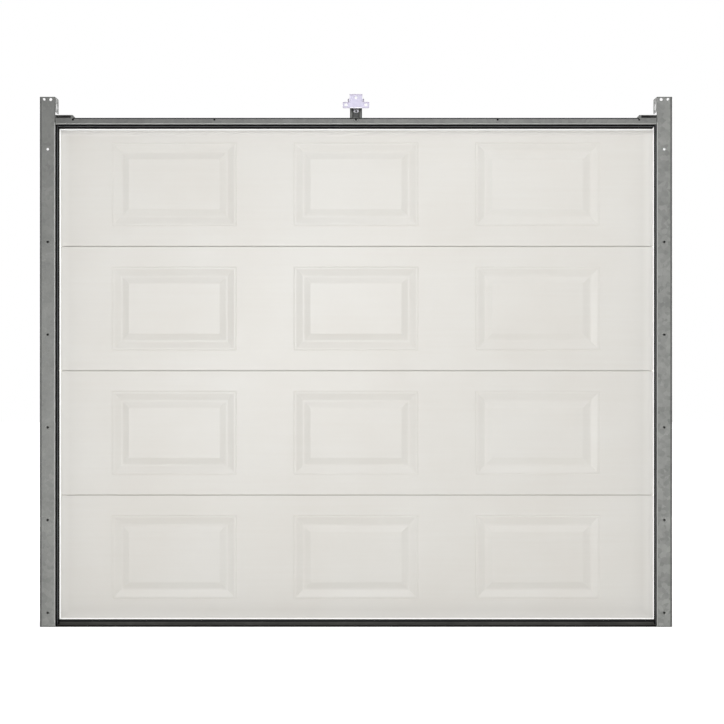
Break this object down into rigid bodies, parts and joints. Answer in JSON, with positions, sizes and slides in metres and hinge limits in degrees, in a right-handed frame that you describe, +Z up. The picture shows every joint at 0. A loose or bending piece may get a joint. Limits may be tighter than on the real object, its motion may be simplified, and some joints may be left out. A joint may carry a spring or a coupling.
{
  "type": "sectional overhead garage door, closed, with frame and low-headroom tracks",
  "caption": "Closed overhead garage door leaf of hinged sections with pressed cassettes, in a galvanised frame with curved tracks, rollers, seals and a header bracket.",
  "frame": {"origin": "on the front face of the header rail, in the middle of its length, 2012 mm above the floor line", "axes": "+X to the right seen from outside, +Y into the garage, +Z up; the frame's front faces lie in the plane Y = 0"},
  "size_m": [2.524, 2.46, 2.287],
  "materials": {
    "galvanised": "hot-dip galvanised steel with spangle",
    "zinc_plate": "pale zinc plated steel",
    "leaf_white": "satin warm white with a fine wood grain",
    "rail_black": "black coated",
    "seal_black": "matt black rubber",
    "nylon": "natural nylon",
    "axle_steel": "bright drawn steel"
  },
  "bodies": {
    "root": {"bottom_bracket_left": "galvanised", "bottom_bracket_right": "galvanised", "bottom_rail": "rail_black", "bottom_seal": "seal_black", "corner_gusset_left": "galvanised", "corner_gusset_right": "galvanised", "curved_track_left": "galvanised", "curved_track_right": "galvanised", "end_caps_left": "galvanised", "end_caps_right": "galvanised", "header_bracket": "galvanised", "header_plate": "zinc_plate", "header_rail": "galvanised", "jamb_left": "galvanised", "jamb_right": "galvanised", "lower_horizontal_track_left": "galvanised", "lower_horizontal_track_right": "galvanised", "middle_hinges": "galvanised", "rear_cross_bar": "galvanised", "rear_hanger_left": "galvanised", "rear_hanger_right": "galvanised", "roller_axles_left": "axle_steel", "roller_axles_right": "axle_steel", "rollers_left": "nylon", "rollers_right": "nylon", "section_1": "leaf_white", "section_2": "leaf_white", "section_3": "leaf_white", "section_4": "leaf_white", "side_hinges_left": "galvanised", "side_hinges_right": "galvanised", "side_seal_left": "seal_black", "side_seal_right": "seal_black", "top_bracket_left": "galvanised", "top_bracket_right": "galvanised", "top_seal": "seal_black", "track_angle_left": "galvanised", "track_angle_right": "galvanised", "track_spacers_left": "galvanised", "track_spacers_right": "galvanised", "upper_horizontal_track_left": "galvanised", "upper_horizontal_track_right": "galvanised", "vertical_track_left": "galvanised", "vertical_track_right": "galvanised"}
  },
  "joints": []
}
